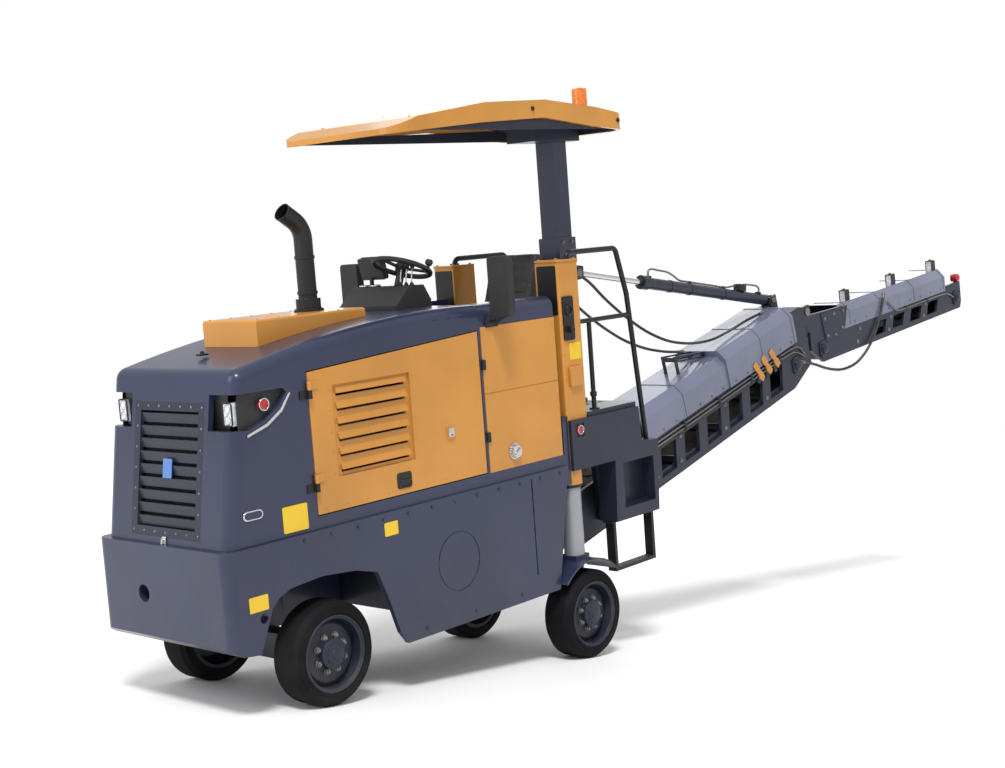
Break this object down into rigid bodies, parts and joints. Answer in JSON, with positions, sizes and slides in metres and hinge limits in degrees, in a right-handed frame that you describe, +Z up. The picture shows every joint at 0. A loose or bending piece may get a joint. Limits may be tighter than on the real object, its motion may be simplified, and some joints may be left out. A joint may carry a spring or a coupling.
{
  "type": "wheeled cold planer milling machine",
  "caption": "Compact road milling machine on solid tyres: louvred engine hood, milling drum, operator's platform under a canopy, and a slewing, folding discharge conveyor.",
  "frame": {"origin": "middle of the machine's outer box, on the floor", "axes": "+X forward, +Y to the machine's left, +Z up"},
  "size_m": [8.7416, 1.39, 3.598],
  "materials": {
    "body_paint": "satin blue-grey paint",
    "yellow_paint": "gloss orange-yellow paint",
    "dark_paint": "satin dark blue-grey paint",
    "black_paint": "satin black paint",
    "pale_paint": "gloss pale blue-grey paint",
    "column_paint": "light grey paint",
    "rim_paint": "dark rim paint",
    "tyre_rubber": "solid rubber",
    "belt_rubber": "belt rubber",
    "hose_rubber": "hose rubber",
    "worn_steel": "worn steel",
    "rod_chrome": "polished rod",
    "trim_chrome": "bright trim",
    "black_plastic": "moulded plastic",
    "seat_vinyl": "seat vinyl",
    "lamp_clear": "clear lens",
    "lamp_red": "red lens",
    "lamp_amber": "amber lens"
  },
  "bodies": {
    "chassis": {"main_frame": "body_paint", "bumper": "body_paint", "hood": "body_paint", "grille": "dark_paint", "lamp_pods": "black_plastic", "headlamps": "lamp_clear", "side_lamps": "lamp_red", "lamp_trims": "trim_chrome", "intake_box": "yellow_paint", "exhaust": "black_paint", "engine_block": "worn_steel", "tank_panels": "yellow_paint", "fuel_cap": "trim_chrome", "door_hinges": "black_paint", "front_axle": "dark_paint", "rear_forks": "body_paint", "columns": "column_paint", "masts": "yellow_paint", "drum_housing": "dark_paint", "platform": "dark_paint", "rear_boxes": "dark_paint", "handrails": "black_paint", "steps": "black_paint", "console": "black_plastic", "steering_wheel": "black_plastic", "seat_base": "black_paint", "seat": "seat_vinyl", "mirrors": "black_plastic", "canopy_post": "body_paint", "canopy": "yellow_paint", "beacon": "lamp_amber"},
    "left_door": {"left_door": "yellow_paint"},
    "right_door": {"right_door": "yellow_paint"},
    "front_left_knuckle": {"front_left_knuckle": "dark_paint"},
    "front_right_knuckle": {"front_right_knuckle": "dark_paint"},
    "tie_rod": {"tie_rod": "black_paint"},
    "front_left_wheel": {"front_left_tyre": "tyre_rubber", "front_left_rim": "rim_paint"},
    "front_right_wheel": {"front_right_tyre": "tyre_rubber", "front_right_rim": "rim_paint"},
    "rear_left_wheel": {"rear_left_tyre": "tyre_rubber", "rear_left_rim": "rim_paint"},
    "rear_right_wheel": {"rear_right_tyre": "tyre_rubber", "rear_right_rim": "rim_paint"},
    "drum": {"milling_drum": "worn_steel"},
    "yoke": {"yoke": "dark_paint"},
    "lower_conveyor": {"lower_conveyor_frame": "dark_paint", "lower_conveyor_cover": "pale_paint", "lower_conveyor_belt": "belt_rubber", "fold_hose": "hose_rubber", "left_lift_hose": "hose_rubber", "right_lift_hose": "hose_rubber"},
    "upper_conveyor": {"upper_conveyor_frame": "dark_paint", "upper_conveyor_cover": "pale_paint", "upper_conveyor_belt": "belt_rubber", "conveyor_lamps": "lamp_clear"},
    "lift_barrel": {"lift_barrel": "dark_paint"},
    "lift_rod": {"lift_rod": "rod_chrome"},
    "lift_collar": {"lift_collar": "dark_paint"}
  },
  "joints": [
    {"name": "left_door_hinge", "type": "hinge", "parent": "chassis", "child": "left_door", "pos_m": [3.77724, 0.536, 1.11212], "axis": [-0.1398, 0, -0.9902], "range_deg": [0, 100]},
    {"name": "right_door_hinge", "type": "hinge", "parent": "chassis", "child": "right_door", "pos_m": [3.77724, -0.536, 1.11212], "axis": [0.1398, 0, 0.9902], "range_deg": [0, 100]},
    {"name": "front_left_steer", "type": "hinge", "parent": "chassis", "child": "front_left_knuckle", "pos_m": [3.66205, 0.33, 0.275], "axis": [0.1398, 0, 0.9902], "range_deg": [-30, 30]},
    {"name": "front_right_steer", "type": "hinge", "parent": "chassis", "child": "front_right_knuckle", "pos_m": [3.66205, -0.33, 0.275], "axis": [0.1398, 0, 0.9902], "range_deg": [-30, 30]},
    {"name": "tie_rod_swivel", "type": "hinge", "parent": "front_left_knuckle", "child": "tie_rod", "pos_m": [3.51352, 0.33, 0.29598], "axis": [0.1398, 0, 0.9902], "range_deg": [-30, 30]},
    {"name": "front_left_spin", "type": "hinge", "parent": "front_left_knuckle", "child": "front_left_wheel", "pos_m": [3.66205, 0.472, 0.275], "axis": [0, 1, 0], "continuous": true},
    {"name": "front_right_spin", "type": "hinge", "parent": "front_right_knuckle", "child": "front_right_wheel", "pos_m": [3.66205, -0.472, 0.275], "axis": [0, 1, 0], "continuous": true},
    {"name": "rear_left_spin", "type": "hinge", "parent": "chassis", "child": "rear_left_wheel", "pos_m": [1.53111, 0.487, 0.275], "axis": [0, 1, 0], "continuous": true},
    {"name": "rear_right_spin", "type": "hinge", "parent": "chassis", "child": "rear_right_wheel", "pos_m": [1.53111, -0.487, 0.275], "axis": [0, 1, 0], "continuous": true},
    {"name": "drum_spin", "type": "hinge", "parent": "chassis", "child": "drum", "pos_m": [2.29678, -0.249, 0.61931], "axis": [0, 1, 0], "continuous": true},
    {"name": "conveyor_slew", "type": "hinge", "parent": "chassis", "child": "yoke", "pos_m": [1.02004, 0, 0.87537], "axis": [0.1398, 0, 0.9902], "range_deg": [-25, 25]},
    {"name": "conveyor_lift", "type": "hinge", "parent": "yoke", "child": "lower_conveyor", "pos_m": [1.02004, 0, 0.87537], "axis": [0, 1, 0], "range_deg": [-5, 8]},
    {"name": "conveyor_fold", "type": "hinge", "parent": "lower_conveyor", "child": "upper_conveyor", "pos_m": [-1.55502, 0, 2.30941], "axis": [0, 1, 0], "range_deg": [0, 110]},
    {"name": "lift_collar_turn", "type": "hinge", "parent": "chassis", "child": "lift_collar", "pos_m": [1.2382, 0, 2.42004], "axis": [0.1398, 0, 0.9902], "range_deg": [-25, 25]},
    {"name": "lift_barrel_tilt", "type": "hinge", "parent": "lower_conveyor", "child": "lift_barrel", "pos_m": [-1.34316, 0, 2.39302], "axis": [0, 1, 0], "range_deg": [-0.2204, 0.1415]},
    {"name": "lift_rod_slide", "type": "slide", "parent": "lift_barrel", "child": "lift_rod", "axis": [0.9998, 0, 0.0197], "range_m": [-0.21913, 0.13703]}
  ],
  "couplings": [
    {"joint": "front_right_steer", "follows": "front_left_steer", "ratio": 1},
    {"joint": "tie_rod_swivel", "follows": "front_left_steer", "ratio": -1},
    {"joint": "lift_collar_turn", "follows": "conveyor_slew", "ratio": 1},
    {"joint": "lift_barrel_tilt", "follows": "conveyor_lift", "ratio": -0.0263},
    {"joint": "lift_rod_slide", "follows": "conveyor_lift", "m_per_rad": -1.568}
  ]
}
